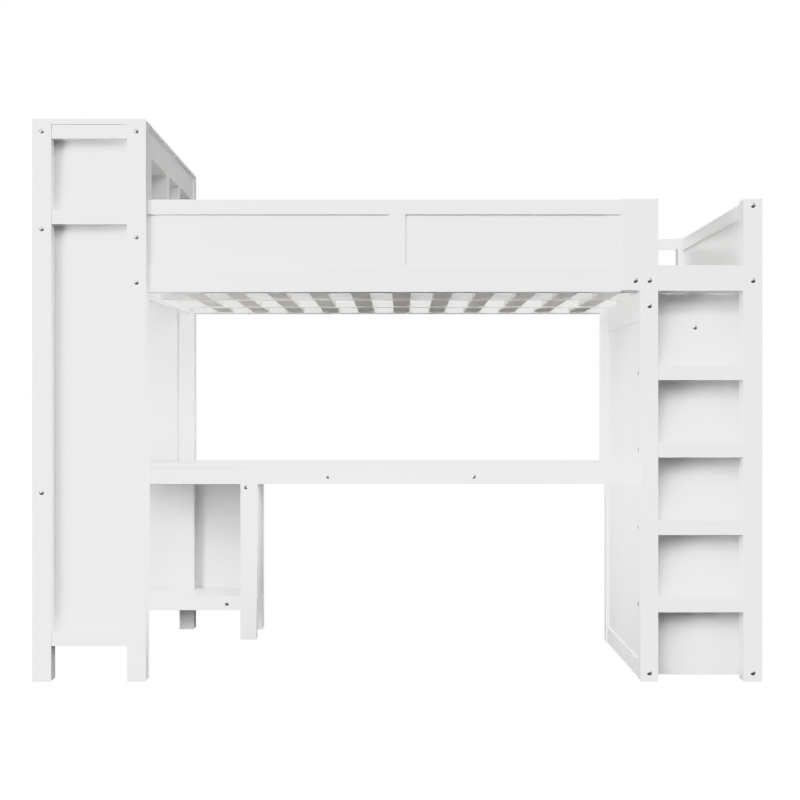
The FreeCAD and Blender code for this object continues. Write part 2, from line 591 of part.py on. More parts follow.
def bed_posts():
    """The short post, the ladder's left post and the two foot posts, and the plate that ties two."""
    low, high = (ENTRY_LEFT, FRONT, "entry_post_low"), ("ladder_left", FRONT_IN, "bed_top")
    node(board("entry_post", low, high, bores=post_bores(ENTRY_BOLT_X, ["entry_bolt"])))
    tread_bores = [
        (("ladder_left - 0.5", TREAD_MIDDLE_Y, tread_bolt(step)), "+x", "bolt_bore", BOLT_THROUGH)
        for step in range(4)
    ]
    heights = ["entry_bolt", "case_bolt", "foot_bolt"]
    low, high = ("ladder_left", FRONT, "0"), (LADDER_RIGHT, FRONT_IN, "bed_top")
    bores = post_bores(LADDER_MIDDLE, heights) + tread_bores
    node(board("ladder_left_post", low, high, bores=bores))
    bores = post_bores(FOOT_MIDDLE, ["foot_top_bolt", "entry_bolt", "foot_bolt"])
    slot = (
        (f"{FOOT_MIDDLE} - panel / 2 - fit / 2", f"{FRONT_IN} - groove - fit", f"{DECK_TOP} - groove - fit"),
        (f"{FOOT_MIDDLE} + panel / 2 + fit / 2", f"{FRONT_IN} + 1", f"{TOP_RAIL_LOW} + groove + fit"),
    )
    side_bores = [
        ((f"{FOOT_IN} - 0.5", TREAD_MIDDLE_Y, tread_bolt(step)), "+x", "bolt_bore", BOLT_THROUGH)
        for step in range(4)
    ]
    entry_bore = ((f"{FOOT_IN} - 0.5", ENTRY_MIDDLE_Y, RAIL_BOLT_Z), "+x", "bolt_bore", BOLT_THROUGH)
    low, high = (FOOT_IN, FRONT, "0"), (RIGHT, FRONT_IN, "bed_top")
    front_bores = bores + side_bores + [entry_bore]
    node(board("foot_front_post", low, high, bores=front_bores, pockets=[slot]))
    rail_bore = ((f"{FOOT_IN} - 0.5", RAIL_MIDDLE_Y, RAIL_BOLT_Z), "+x", "bolt_bore", BOLT_THROUGH)
    rear_bores = flip_bores(bores + [rail_bore])
    node(board("foot_rear_post", *mirrored(low, high), bores=rear_bores, pockets=flip([slot])))
    low = (ENTRY_LEFT, FRONT_IN, "entry_bolt - tie_plate_height / 2")
    high = (LADDER_RIGHT, f"{FRONT_IN} + tie_plate", "entry_bolt + tie_plate_height / 2")
    bores = [
        ((x, FRONT_IN, "entry_bolt"), "+y", "bolt_bore", "tie_plate")
        for x in (ENTRY_BOLT_X, LADDER_MIDDLE)
    ]
    node(board("post_tie_plate", low, high, bores=bores))


ENTRY_MIDDLE_Y = "(flush_gap + guard_inset + guard_thick) / 2 - half_depth"
TREAD_MIDDLE_Y = "-half_depth + riser_set / 2"
TOP_RAIL_LOW = "bed_top - guard_top_rail"


def tread_bolt(step):
    return f"tread_low + tread / 2 + {step} * tread_rise"


def entry_and_footboard():
    """The rail over the ladder, and the three rails and the panel of the foot end."""
    low = (LADDER_RIGHT, f"{FRONT} + flush_gap", "deck_low + flush_gap")
    high = (FOOT_IN, GUARD_BACK, DECK_TOP)
    bore = ((FOOT_IN, ENTRY_MIDDLE_Y, RAIL_BOLT_Z), "-x", "bolt_bore", "bolt_grip + 5")
    nut_start = (f"{FOOT_IN} - nut_place", ENTRY_MIDDLE_Y, "deck_low")
    nut_bore = (nut_start, "+z", "nut + 0.2", "rail_bolt + nut_long / 2")
    node(board("entry_rail", low, high, bores=[bore, nut_bore]))
    thin_low = f"{FOOT_MIDDLE} - side_rail_thick / 2"
    thin_high = f"{FOOT_MIDDLE} + side_rail_thick / 2"
    rails = {
        "top": (TOP_RAIL_LOW, "bed_top", "foot_top_bolt"),
        "side": ("deck_low", DECK_TOP, "entry_bolt"),
        "bottom": ("0", "foot_rail", "foot_bolt"),
    }

    def slot(low_z, high_z):
        low = (f"{FOOT_MIDDLE} - panel / 2 - fit / 2", f"{FRONT_IN} - 1", low_z)
        return low, (f"{FOOT_MIDDLE} + panel / 2 + fit / 2", f"{REAR_IN} + 1", high_z)

    slots = {
        "top": [slot(f"{TOP_RAIL_LOW} - 1", f"{TOP_RAIL_LOW} + groove + fit")],
        "side": [slot(f"{DECK_TOP} - groove - fit", f"{DECK_TOP} + 1")],
        "bottom": [],
    }
    for title, (low_z, high_z, bolt) in rails.items():
        low, high = (thin_low, FRONT_IN, low_z), (thin_high, REAR_IN, high_z)
        bores = both_ends(FOOT_MIDDLE, bolt, "side_rail_thick")
        node(board(f"footboard_{title}_rail", low, high, bores=bores, pockets=slots[title]))
    low = (f"{FOOT_MIDDLE} - panel / 2", f"{FRONT_IN} - groove", f"{DECK_TOP} - groove")
    high = (f"{FOOT_MIDDLE} + panel / 2", f"{REAR_IN} + groove", f"{TOP_RAIL_LOW} + groove")
    node(board("footboard_panel", low, high, eased=False))


SLATS = 13
SLAT_MIDDLES = [f"slat_middle + {number - SLATS // 2} * slat_pitch" for number in range(SLATS)]


def slat_support(name, low, high, extra=()):
    """A beam with a row of open notches, one under each slat."""
    notches = []
    for middle in SLAT_MIDDLES:
        near = (f"{middle} - slat / 2 - slat_play", f"{low[1]} - 1", SLAT_LOW)
        far = (f"{middle} + slat / 2 + slat_play", f"{high[1]} + 1", f"{high[2]} + 1")
        notches.append((near, far))
    return board(name, low, high, pockets=notches + list(extra))


def slat_deck():
    """Two ledgers on the side rails, two centre beams, and thirteen slats in their notches."""
    left_end = f"{INNER_MIDDLE} + side_rail_thick / 2"
    right_end = f"{FOOT_MIDDLE} - side_rail_thick / 2"
    low = (TOWER_FACE, GUARD_BACK, "deck_low")
    high = (FOOT_IN, f"{GUARD_BACK} + ledger", SLAT_TOP)
    posts = (
        (f"{ENTRY_LEFT} - 1", f"{GUARD_BACK} - 1", "deck_low - 1"),
        (f"{LADDER_RIGHT} + 1", f"{FRONT_IN} + 1", f"{SLAT_TOP} + 1"),
    )
    front = slat_support("slat_ledger_front", low, high, [posts])
    rear = slat_support("slat_ledger_rear", *mirrored(low, high))
    group("slat_ledgers", [front, rear])
    beams = []
    for title, middle in (("front", "-beam_offset"), ("rear", "beam_offset")):
        low = (left_end, f"{middle} - beam / 2", "deck_low")
        high = (right_end, f"{middle} + beam / 2", SLAT_TOP)
        beams.append(slat_support(f"center_beam_{title}", low, high))
    group("center_beams", beams)
    slats = []
    for number, middle in enumerate(SLAT_MIDDLES, start=1):
        low = (f"{middle} - slat / 2", "-slat_half", SLAT_LOW)
        high = (f"{middle} + slat / 2", "slat_half", SLAT_TOP)
        slats.append(board(f"slat_{number}", low, high))
    group("bed_slats", slats)


# ---- the ladder and the bookcase behind it ----

RISER_FRONT = "-half_depth + riser_set"
BAY_MIDDLE = f"({LADDER_RIGHT} + {FOOT_IN}) / 2"
CASE_TOP_LOW = "deck_low - case_top_rail"
CASE_RIGHT = f"{FOOT_MIDDLE} - side_rail_thick / 2"
CASE_REAR_IN = "case_rear - post"
TOP_SHELF_BOLT = "shelf_first + 4 * shelf_pitch - shelf_bolt_drop"


def ladder():
    """Four treads between the ladder's left post and the foot post, with a closed back."""
    treads = []
    for step in range(4):
        low_z = f"tread_low + {step} * tread_rise"
        low, high = (LADDER_RIGHT, f"{FRONT} + flush_gap", low_z), (FOOT_IN, RISER_FRONT, f"{low_z} + tread")
        bores = []
        for x_end, way, sign in ((LADDER_RIGHT, "+x", "+"), (FOOT_IN, "-x", "-")):
            bores.append(((x_end, TREAD_MIDDLE_Y, tread_bolt(step)), way, "bolt_bore", "bolt_grip + 5"))
            nut_start = (f"{x_end} {sign} nut_place", TREAD_MIDDLE_Y, f"{low_z} - 0.5")
            bores.append((nut_start, "+z", "nut + 0.2", "(tread + nut_long) / 2 + 0.5"))
        treads.append(board(f"ladder_tread_{step + 1}", low, high, bores=bores))
    group("ladder_treads", treads)
    low = (LADDER_RIGHT, RISER_FRONT, "riser_low")
    high = (CASE_RIGHT, f"{RISER_FRONT} + panel", "riser_top")
    screw = ((BAY_MIDDLE, f"{RISER_FRONT} - 0.5", TOP_SHELF_BOLT), "+y", "bolt_bore", "panel + 1")
    node(board("ladder_back_panel", low, high, bores=[screw], eased=False))


def shelf_low(level):
    return f"shelf_first + {level} * shelf_pitch"


def bookcase():
    """Side rails and panel, rear posts, five shelves on bearers, a top rail and a back."""
    rail_low = "ladder_left + rail_inset / 2"
    rail_high = f"{LADDER_RIGHT} - rail_inset"
    panel_face = "ladder_left + case_panel_inset"
    panel_back = f"{panel_face} + panel"
    front_y = f"{RISER_FRONT} + panel + desk_rail"
    bores = [
        ((LADDER_MIDDLE, "case_rear + 0.5", z), "-y", "bolt_bore", BOLT_THROUGH)
        for z in ("case_bolt", "foot_bolt")
    ]
    low, high = ("ladder_left", CASE_REAR_IN, "0"), (LADDER_RIGHT, "case_rear", "deck_low")
    node(board("bookcase_rear_left_post", low, high, bores=bores))
    low = (CASE_RIGHT, CASE_REAR_IN, "foot_rail")
    high = (f"{FOOT_MIDDLE} + side_rail_thick / 2", "case_rear", "deck_low")
    node(board("bookcase_rear_right_post", low, high))
    slot_x = (f"{panel_face} - fit / 2", f"{panel_back} + fit / 2")
    top_slot = (f"{CASE_TOP_LOW} - 1", f"{CASE_TOP_LOW} + groove + fit")
    bottom_slot = ("foot_rail - groove - fit", "foot_rail + 1")
    rails = {
        "top": (CASE_TOP_LOW, "deck_low", "case_bolt", top_slot),
        "bottom": ("0", "foot_rail", "foot_bolt", bottom_slot),
    }
    side_rails = []
    for title, (low_z, high_z, bolt, slot_z) in rails.items():
        low, high = (rail_low, FRONT_IN, low_z), (rail_high, CASE_REAR_IN, high_z)
        bores = both_ends(LADDER_MIDDLE, bolt, "ladder_post", rear=CASE_REAR_IN)
        near = (slot_x[0], f"{FRONT_IN} - 1", slot_z[0])
        far = (slot_x[1], f"{CASE_REAR_IN} + 1", slot_z[1])
        side_rails.append(
            board(f"bookcase_side_{title}_rail", low, high, bores=bores, pockets=[(near, far)])
        )
    group("bookcase_side_rails", side_rails)
    low = (panel_face, FRONT_IN, "foot_rail - groove")
    high = (panel_back, CASE_REAR_IN, f"{CASE_TOP_LOW} + groove")
    node(board("bookcase_side_panel", low, high, eased=False))
    shelves, bearers = [], []
    for level in range(5):
        low_z = shelf_low(level)
        top_z = f"{low_z} + shelf"
        beside_rail = level in (0, 4)
        notch = (
            ("ladder_left - 1", CASE_REAR_IN, f"{low_z} - 1"),
            (LADDER_RIGHT, "case_rear + 1", f"{top_z} + 1"),
        )
        low = (rail_high if beside_rail else panel_back, front_y, low_z)
        high = (CASE_RIGHT, "case_rear", top_z)
        shelves.append(board(f"bookcase_shelf_{level + 1}", low, high, pockets=[notch]))
        if level:
            low = (CASE_RIGHT, FRONT_IN, f"{top_z} - shelf_bearer")
            high = (f"{FOOT_MIDDLE} + side_rail_thick / 2", CASE_REAR_IN, top_z)
            bearers.append(board(f"shelf_bearer_{level}", low, high))
    group("bookcase_shelves", shelves)
    group("bookcase_shelf_bearers", bearers)
    low = (LADDER_RIGHT, f"{RISER_FRONT} + panel", "riser_top - case_top_rail")
    high = (CASE_RIGHT, front_y, "deck_low")
    screw = ((BAY_MIDDLE, f"{RISER_FRONT} + panel - 0.5", TOP_SHELF_BOLT), "+y", "bolt_bore", "desk_rail + 1")
    node(board("bookcase_front_rail", low, high, bores=[screw]))
    low = ("ladder_left - back_lap", "case_rear", "desk_height")
    high = (f"{FOOT_MIDDLE} + side_rail_thick / 2", "case_rear + back_thick", "deck_low")
    head_room = ((LADDER_MIDDLE, "case_rear - 0.5", "case_bolt"), "+y", "bolt_head + 3", "back_thick + 1")
    node(board("bookcase_back_panel", low, high, bores=[head_room]))


# ---- the desk and the cabinet under it ----

CABINET_BOLTS = [f"{CABINET_LEFT} + cabinet_bolt_offset", "cabinet_right - cabinet_bolt_offset"]
BEARER_PLACES = [f"{CABINET_LEFT} + bearer_offset", "cabinet_right - bearer_offset"]


def rail_bore(x, z):
    """A bore from the front through the apron or the cabinet's front rail."""
    return ((x, f"{CABINET_FACE} - 0.5", z), "+y", "bolt_bore", "desk_rail + 1")


def desk():
    """A long top on an apron, a rear rail and three cross rails."""
    left = f"{OUTER_MIDDLE} + panel / 2 + fit"
    low_z = "desk_height - desk_thick"
    body = plate(
        "desk_top",
        [
            (left, "case_rear"),
            (FOOT_IN, "case_rear"),
            (FOOT_IN, REAR),
            (TOWER_FACE, REAR),
            (TOWER_FACE, REAR_IN),
            (left, REAR_IN),
        ],
        low_z,
        "desk_height",
        nosing="nosing",
    )
    node(body)
    rail_left = f"{OUTER_MIDDLE} + side_rail_thick / 2"
    front_y, back_y = CABINET_FACE, f"{CABINET_FACE} + desk_rail"
    low, high = (rail_left, front_y, APRON_LOW), (FOOT_IN, back_y, low_z)
    middles = {"left": "cross_left", "right": "cross_right"}
    bores = [rail_bore(x, "desk_bolt") for x in middles.values()]
    node(board("desk_apron", low, high, bores=bores))
    rear_y = f"{REAR} - desk_rail"
    low, high = (TOWER_FACE, rear_y, APRON_LOW), (FOOT_IN, REAR, low_z)
    bores = [
        ((x, f"{REAR} + 0.5", "desk_bolt"), "-y", "bolt_bore", "desk_rail + 1")
        for x in middles.values()
    ]
    node(board("desk_rear_rail", low, high, bores=bores))
    rails = []
    for title, middle in list(middles.items()) + [("end", f"{FOOT_IN} - desk_rail / 2")]:
        low = (f"{middle} - desk_rail / 2", back_y, APRON_LOW)
        high = (f"{middle} + desk_rail / 2", rear_y, low_z)
        bores = []
        if title != "end":
            bores = both_ends(middle, "desk_bolt", "desk_rail", front=back_y, rear=rear_y)
        rails.append(board(f"desk_cross_rail_{title}", low, high, bores=bores))
    group("desk_cross_rails", rails)


def cabinet():
    """Four legs, a front rail, two sides, a back and a shelf on bearers."""
    left_in, right_in = f"{CABINET_LEFT} + post", "cabinet_right - post"
    front_y, front_in = CABINET_FACE, f"{CABINET_FACE} + post"
    rail_back = f"{CABINET_FACE} + desk_rail"
    shelf_low_z = "cabinet_shelf_top - shelf"
    left_wall = f"{CABINET_LEFT} + cabinet_side"
    right_wall = "cabinet_right - cabinet_side"
    legs, sides, rails = [], [], []
    corners = {
        "left": (CABINET_LEFT, left_in, CABINET_LEFT, left_wall, CABINET_BOLTS[0], f"{REAR_IN} - post"),
        "right": (right_in, "cabinet_right", right_wall, "cabinet_right", CABINET_BOLTS[1], REAR_IN),
    }
    for title, (low_x, high_x, wall_low, wall_high, bolt_x, rear_near) in corners.items():
        bore = [((bolt_x, f"{front_y} - 0.5", "cabinet_bolt"), "+y", "bolt_bore", BOLT_THROUGH)]
        low, high = (low_x, front_y, "0"), (high_x, front_in, APRON_LOW)
        legs.append(board(f"cabinet_leg_front_{title}", low, high, bores=bore))
        rear_far = f"{rear_near} + post"
        bore = [((bolt_x, f"{rear_far} + 0.5", "cabinet_bolt"), "-y", "bolt_bore", BOLT_THROUGH)]
        low, high = (low_x, rear_near, "0"), (high_x, rear_far, APRON_LOW)
        legs.append(board(f"cabinet_leg_rear_{title}", low, high, bores=bore))
        low, high = (wall_low, front_in, shelf_low_z), (wall_high, rear_near, APRON_LOW)
        sides.append(board(f"cabinet_side_{title}", low, high))
        low = (f"{bolt_x} - desk_rail / 2", front_in, f"{APRON_LOW} - frame_rail")
        high = (f"{bolt_x} + desk_rail / 2", rear_near, APRON_LOW)
        bores = both_ends(bolt_x, "cabinet_bolt", "desk_rail", front=front_in, rear=rear_near)
        rails.append(board(f"cabinet_side_rail_{title}", low, high, bores=bores))
    group("cabinet_legs", legs)
    group("cabinet_sides", sides)
    bores = [rail_bore(x, "bearer_bolt") for x in BEARER_PLACES]
    low = (left_in, front_y, "cabinet_shelf_top - cabinet_rail")
    node(board("cabinet_front_rail", low, (right_in, rail_back, "cabinet_shelf_top"), bores=bores))
    for title, x in zip(("left", "right"), BEARER_PLACES):
        low = (f"{x} - desk_rail / 2", rail_back, "cabinet_shelf_top - cabinet_rail")
        high = (f"{x} + desk_rail / 2", REAR_IN, shelf_low_z)
        bores = end_bores(x, rail_back, "+y", "bearer_bolt", "desk_rail")
        rails.append(board(f"cabinet_bearer_{title}", low, high, bores=bores))
    group("cabinet_rails", rails)
    back_y = f"{REAR} - back_thick"
    corners = [
        (left_in, rail_back),
        (right_in, rail_back),
        (right_in, front_in),
        (right_wall, front_in),
        (right_wall, REAR_IN),
        (right_in, REAR_IN),
        (right_in, back_y),
        (TOWER_FACE, back_y),
        (TOWER_FACE, REAR_IN),
        (left_in, REAR_IN),
        (left_in, f"{REAR_IN} - post"),
        (left_wall, f"{REAR_IN} - post"),
        (left_wall, front_in),
        (left_in, front_in),
    ]
    node(plate("cabinet_shelf", corners, shelf_low_z, "cabinet_shelf_top"))
    low = (TOWER_FACE, back_y, shelf_low_z)
    node(board("cabinet_back_panel", low, (right_in, REAR, APRON_LOW)))


# ---- bolts and barrel nuts ----


def bolt_shape(length):
    """A bolt that points along +y from its head's flat face, with a domed head and a socket."""
    head, dome = value("bolt_head") / 2, value("bolt_dome")
    radius = (head ** 2 + dome ** 2) / (2 * dome)
    y_axis = FreeCAD.Vector(0, 1, 0)
    ball = Part.makeSphere(radius, FreeCAD.Vector(0, radius - dome, 0))
    disc = Part.makeCylinder(head + 1, dome, FreeCAD.Vector(0, -dome, 0), y_axis)
    shank = Part.makeCylinder(value("bolt_shank") / 2, length, FreeCAD.Vector(0, 0, 0), y_axis)
    flats = value("bolt_socket")
    hexagon = Part.makePolygon(
        [
            FreeCAD.Rotation(y_axis, 60 * corner) * FreeCAD.Vector(flats / 3 ** 0.5, -dome - 1, 0)
            for corner in range(7)
        ]
    )
    socket = Part.Face(hexagon).extrude(FreeCAD.Vector(0, dome, 0))
    return ball.common(disc).fuse(shank).cut(socket).removeSplitter()


def nut_shape(thread_way, axis_way):
    """A barrel nut along one axis, with a cross bore for the bolt."""
    radius, length = value("nut") / 2, value("nut_long")
    body = Part.makeCylinder(radius, length, axis_way * (-length / 2), axis_way)
    bore = value("bolt_shank") / 2 + 0.1
    cross = Part.makeCylinder(bore, 4 * radius, thread_way * (-2 * radius), thread_way)
    return body.cut(cross)


X, Y, Z = FreeCAD.Vector(1, 0, 0), FreeCAD.Vector(0, 1, 0), FreeCAD.Vector(0, 0, 1)


def fastener_places():
    """Each bolt: head place, direction, thickness it passes, and its nut's axis."""
    front, rear = value(FRONT), value(REAR)
    post = value("post")
    outer, inner, foot = value(OUTER_MIDDLE), value(INNER_MIDDLE), value(FOOT_MIDDLE)
    both = [
        (outer, ("tower_top_bolt", "side_middle_bolt", "side_low_bolt")),
        (inner, ("tower_top_bolt", "headboard_high_bolt", "headboard_low_bolt")),
        (foot, ("foot_top_bolt", "entry_bolt", "foot_bolt")),
    ]
    places = []
    for x, heights in both:
        for z in heights:
            places.append((FreeCAD.Vector(x, front, value(z)), Y, post, X))
            places.append((FreeCAD.Vector(x, rear, value(z)), -Y, post, X))
    ladder_x = value(LADDER_MIDDLE)
    for z in ("case_bolt", "foot_bolt"):
        places.append((FreeCAD.Vector(ladder_x, front, value(z)), Y, post, X))
        places.append((FreeCAD.Vector(ladder_x, value("case_rear"), value(z)), -Y, post, X))
    for x in (ladder_x, value(ENTRY_BOLT_X)):
        places.append((FreeCAD.Vector(x, front, value("entry_bolt")), Y, post, None))
    face = value(CABINET_FACE)
    rail = value("desk_rail")
    for x in ("cross_left", "cross_right"):
        places.append((FreeCAD.Vector(value(x), face, value("desk_bolt")), Y, rail, X))
        places.append((FreeCAD.Vector(value(x), rear, value("desk_bolt")), -Y, rail, X))
    for x, rear_face in zip(CABINET_BOLTS, (value(REAR_IN), rear)):
        places.append((FreeCAD.Vector(value(x), face, value("cabinet_bolt")), Y, post, X))
        places.append((FreeCAD.Vector(value(x), rear_face, value("cabinet_bolt")), -Y, post, X))
    for x in BEARER_PLACES:
        places.append((FreeCAD.Vector(value(x), face, value("bearer_bolt")), Y, rail, X))
    for step in range(4):
        y, z = value(TREAD_MIDDLE_Y), value(tread_bolt(step))
        places.append((FreeCAD.Vector(value("ladder_left"), y, z), X, value("ladder_post"), Z))
        places.append((FreeCAD.Vector(value(RIGHT), y, z), -X, post, Z))
    y, z = value(RAIL_MIDDLE_Y), value(RAIL_BOLT_Z)
    for bolt in FRAME_BOLTS:
        for side in (-1, 1):
            head = FreeCAD.Vector(value(LEFT), side * value(FRAME_MIDDLE_Y), value(bolt))
            places.append((head, X, post, Z))
    places.append((FreeCAD.Vector(value(INNER_OUT), y, z), X, post, Z))
    places.append((FreeCAD.Vector(value(INNER_OUT), -y, z), X, post, Z))
    places.append((FreeCAD.Vector(value(RIGHT), -y, z), -X, post, Z))
    places.append((FreeCAD.Vector(value(RIGHT), value(ENTRY_MIDDLE_Y), z), -X, post, Z))
    return places


def solid_group(name, shapes):
    """One node of separate solids whose shapes are worked out here."""
    thing = doc.addObject("Part::Feature", name)
    thing.Label = name
    thing.Shape = Part.makeCompound(shapes)
    nodes.append(thing)


def fasteners():
    """Every bolt, and the barrel nut that it screws into."""
    grip, nut_place = value("bolt_grip"), value("nut_place")
    bolts, nuts = [], []
    for head, way, through, nut_axis in fastener_places():
        reach = grip if nut_axis else value("tie_plate") - 1
        turn = FreeCAD.Rotation(Y, way)
        shape = bolt_shape(through + reach)
        shape.Placement = FreeCAD.Placement(head, turn)
        bolts.append(shape)
        if nut_axis:
            nut = nut_shape(way, nut_axis)
            nut.translate(head + way * (through + nut_place))
            nuts.append(nut)
    shape = bolt_shape(value("panel") + value("desk_rail"))
    shape.translate(FreeCAD.Vector(value(BAY_MIDDLE), value(RISER_FRONT), value(TOP_SHELF_BOLT)))
    bolts.append(shape)
    solid_group("bolts", bolts)
    solid_group("barrel_nuts", nuts)


tower_posts()
tower_frames()
tower_side()
cubbies()
front_guard()
rear_guard()
bed_posts()
entry_and_footboard()
slat_deck()
ladder()
bookcase()
desk()
cabinet()
doc.recompute()
fasteners()
doc.recompute()

# ---- checks, then one file for each node ----

for thing in doc.Objects:
    if "Invalid" in thing.State or "Error" in thing.State:
        raise RuntimeError(f"{thing.Label} did not compute: {thing.State}")
for piece in nodes:
    if piece.Shape.isNull() or not piece.Shape.isValid():
        raise RuntimeError(f"{piece.Label} has no valid shape")

os.makedirs("parts", exist_ok=True)
for piece in nodes:
    piece.Shape.exportStep(f"parts/{piece.Label}.step")
print(len(nodes), "nodes written")
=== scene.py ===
"""A white loft bed over a long desk: lacquered wood, zinc bolts, a pale floor and soft light."""

import json
import math

import bpy
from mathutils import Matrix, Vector


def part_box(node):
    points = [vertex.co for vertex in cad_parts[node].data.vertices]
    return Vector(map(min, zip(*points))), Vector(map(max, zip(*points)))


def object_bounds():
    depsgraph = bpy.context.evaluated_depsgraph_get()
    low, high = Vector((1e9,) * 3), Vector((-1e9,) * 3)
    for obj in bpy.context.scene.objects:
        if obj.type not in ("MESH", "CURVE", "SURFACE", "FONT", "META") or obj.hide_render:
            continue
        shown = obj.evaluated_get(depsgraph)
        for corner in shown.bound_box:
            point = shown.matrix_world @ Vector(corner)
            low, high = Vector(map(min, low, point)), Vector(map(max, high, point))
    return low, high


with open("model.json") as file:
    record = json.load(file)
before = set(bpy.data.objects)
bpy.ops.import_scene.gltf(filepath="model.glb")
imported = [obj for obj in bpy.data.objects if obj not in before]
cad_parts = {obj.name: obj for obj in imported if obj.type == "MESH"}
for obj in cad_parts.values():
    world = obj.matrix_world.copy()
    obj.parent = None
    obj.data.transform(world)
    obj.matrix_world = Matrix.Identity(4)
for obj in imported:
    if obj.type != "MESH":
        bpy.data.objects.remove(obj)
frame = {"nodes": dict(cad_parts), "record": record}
CAD_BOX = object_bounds()
NODES = frame["nodes"]
RECORD = frame["record"]
MM = 0.001

# The camera stands level in front of the bed, a little under half its height.
CAMERA_AWAY = 4.255
CAMERA_SIDE = 0.0086
CAMERA_HEIGHT = 0.875
CAMERA_LENS = 59.84
HORIZON_SHIFT = 0.01025

# Scene light of a surface, and what the picture shows for it: whites level off below the
# backdrop's.
TONE = (
    (0.25, 0.25), (0.45, 0.45), (0.60, 0.59), (0.75, 0.70), (0.90, 0.78),
    (1.10, 0.825), (1.30, 0.84), (1.70, 0.85), (2.60, 0.865), (3.30, 0.89),
)
BACKDROP = 4.2

# Name, compass angle from the front and height angle in degrees, strength. They are far and soft.
FAR_LIGHTS = (
    ("left_key", -32, 25, 1.5),
    ("right_key", 40, 25, 0.95),
    ("front_key", -10, 48, 1.0),
    ("sky", 0, 80, 0.3),
    ("back_fill", 180, 28, 1.7),
)
FAR_LIGHT_WIDTH = 30
LAMP_REACH = 8.0
AIM = Vector((0.0, 0.0, 0.9))
# Name, place, aim and width in metres, power in watts, spread in degrees. The last two stand
# under the deck, behind the front rail, and fill the space round the desk.
NEAR_LIGHTS = (
    ("left_softbox", (-4.0, -4.0, 1.0), (0.0, 0.0, 0.9), 2.0, 110, 180),
    ("case_fill", (-0.45, -0.42, 0.65), (0.8, -0.1, 0.6), 0.7, 3.6, 90),
    ("tower_fill", (0.35, -0.42, 0.65), (-1.0, 0.0, 0.66), 0.7, 7, 84),
)
# Strength of the dome above and below the horizon, and how gently one passes into the other.
SKY_LIGHT = 0.30
FLOOR_LIGHT = 0.04
HORIZON = 0.1
FLOOR_HALF = 14.0
FLOOR_GAP = 0.5 * MM

# Noise scale along and across the grain.
ALONG_GRAIN = 1.6
ACROSS_GRAIN = 26.0
# The ledgers and beams under the slats stay near white. The slats get a darker, warmer grey, which
# is painted shade for their undersides.
SLAT_SUPPORTS = ("slat_ledgers", "center_beams")
# Grain runs along a piece's longest side. These groups hold several pieces that lie another way.
GRAIN = {
    "bed_slats": "y",
    "tower_frame_rails": "x",
    "tower_lower_panels": "z",
    "tower_upper_panels": "x",
    "front_guard_panels": "x",
    "rear_guard_uprights": "z",
    "ladder_treads": "x",
    "desk_cross_rails": "y",
    "cabinet_legs": "z",
    "cabinet_rails": "y",
    "cabinet_sides": "y",
    "cubby_stiles": "z",
    "cubby_dividers": "z",
    "bookcase_shelves": "y",
    "bookcase_shelf_bearers": "y",
    "bookcase_side_rails": "y",
    "slat_ledgers": "x",
    "center_beams": "x",
}


# ---- shader helpers ----


class Shader:
    """A material's node tree, with short calls for the nodes used here."""

    def __init__(self, name):
        self.material = bpy.data.materials.new(name)
        self.material.use_nodes = True
        self.tree = self.material.node_tree
        self.surface = self.tree.nodes["Principled BSDF"]
        coordinates = self.tree.nodes.new("ShaderNodeTexCoord")
        self.place = coordinates.outputs["Object"]

    def wire(self, source, target):
        self.tree.links.new(source, target)

    def stretched(self, scale):
        mapping = self.tree.nodes.new("ShaderNodeMapping")
        mapping.inputs["Scale"].default_value = scale
        self.wire(self.place, mapping.inputs["Vector"])
        return mapping.outputs["Vector"]

    def noise(self, vector, scale, detail=3.0, roughness=0.5, distortion=0.0):
        texture = self.tree.nodes.new("ShaderNodeTexNoise")
        texture.inputs["Scale"].default_value = scale
        texture.inputs["Detail"].default_value = detail
        texture.inputs["Roughness"].default_value = roughness
        texture.inputs["Distortion"].default_value = distortion
        self.wire(vector, texture.inputs["Vector"])
        return texture.outputs["Fac"]

    def ramp(self, value, stops):
        node = self.tree.nodes.new("ShaderNodeValToRGB")
        first, last = node.color_ramp.elements
        (first.position, first.color), (last.position, last.color) = stops
        self.wire(value, node.inputs["Fac"])
        return node.outputs["Color"]

    def range(self, value, low, high):
        node = self.tree.nodes.new("ShaderNodeMapRange")
        node.inputs["To Min"].default_value = low
        node.inputs["To Max"].default_value = high
        self.wire(value, node.inputs["Value"])
        return node.outputs["Result"]

    def multiply(self, first, second):
        node = self.tree.nodes.new("ShaderNodeMix")
        node.data_type = "RGBA"
        node.blend_type = "MULTIPLY"
        node.inputs["Factor"].default_value = 1.0
        self.wire(first, node.inputs["A"])
        self.wire(second, node.inputs["B"])
        return node.outputs["Result"]

    def bump(self, height, distance, strength, normal=None):
        node = self.tree.nodes.new("ShaderNodeBump")
        node.inputs["Distance"].default_value = distance
        node.inputs["Strength"].default_value = strength
        self.wire(height, node.inputs["Height"])
        if normal:
            self.wire(normal, node.inputs["Normal"])
        return node.outputs["Normal"]

    def soft_edges(self, radius):
        node = self.tree.nodes.new("ShaderNodeBevel")
        node.samples = 4
        node.inputs["Radius"].default_value = radius
        return node.outputs["Normal"]


def grey(level, warmth=0.0):
    """A near-white colour: warmth takes a little blue away."""
    return (level, level * (1 - warmth / 3), level * (1 - warmth), 1.0)


